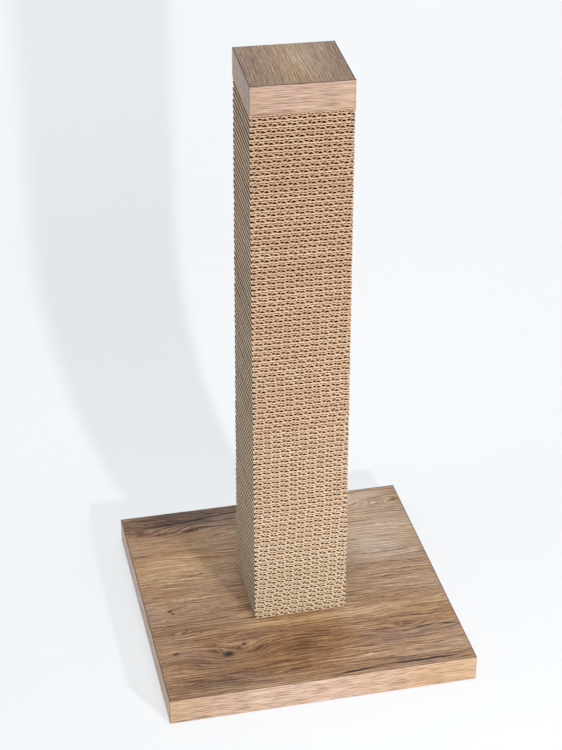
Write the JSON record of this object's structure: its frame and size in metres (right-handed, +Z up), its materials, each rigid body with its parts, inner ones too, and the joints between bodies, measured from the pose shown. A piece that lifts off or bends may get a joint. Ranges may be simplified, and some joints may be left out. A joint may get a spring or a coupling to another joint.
{
  "type": "cat scratching post",
  "caption": "Free-standing cat scratching post: a square column of stacked corrugated cardboard sheets, clamped between an oak-print board base and a small board cap.",
  "frame": {"origin": "centre of the base's underside, on the floor", "axes": "+Z up along the tie rod, front towards -Y, flutes of the cardboard running front to back along Y"},
  "size_m": [0.28, 0.28, 0.5487],
  "materials": {
    "oak_print_chipboard": "matt printed oak decor on faced chipboard",
    "oak_print_edge_strip": "matt light oak print on plastic edging",
    "kraft_corrugated_board": "raw kraft paper with cut edges",
    "zinc_plated_steel": "bright zinc plating"
  },
  "bodies": {
    "root": {"base_board": "oak_print_chipboard", "base_nut": "zinc_plated_steel", "base_strip_back": "oak_print_edge_strip", "base_strip_front": "oak_print_edge_strip", "base_strip_left": "oak_print_edge_strip", "base_strip_right": "oak_print_edge_strip", "base_washer": "zinc_plated_steel", "cap_board": "oak_print_chipboard", "cap_insert": "zinc_plated_steel", "cap_strip_back": "oak_print_edge_strip", "cap_strip_front": "oak_print_edge_strip", "cap_strip_left": "oak_print_edge_strip", "cap_strip_right": "oak_print_edge_strip", "sheets_01": "kraft_corrugated_board", "sheets_02": "kraft_corrugated_board", "sheets_03": "kraft_corrugated_board", "sheets_04": "kraft_corrugated_board", "sheets_05": "kraft_corrugated_board", "sheets_06": "kraft_corrugated_board", "sheets_07": "kraft_corrugated_board", "sheets_08": "kraft_corrugated_board", "sheets_09": "kraft_corrugated_board", "sheets_10": "kraft_corrugated_board", "sheets_11": "kraft_corrugated_board", "sheets_12": "kraft_corrugated_board", "sheets_13": "kraft_corrugated_board", "sheets_14": "kraft_corrugated_board", "sheets_15": "kraft_corrugated_board", "sheets_16": "kraft_corrugated_board", "sheets_17": "kraft_corrugated_board", "sheets_18": "kraft_corrugated_board", "sheets_19": "kraft_corrugated_board", "tie_rod": "zinc_plated_steel"}
  },
  "joints": []
}
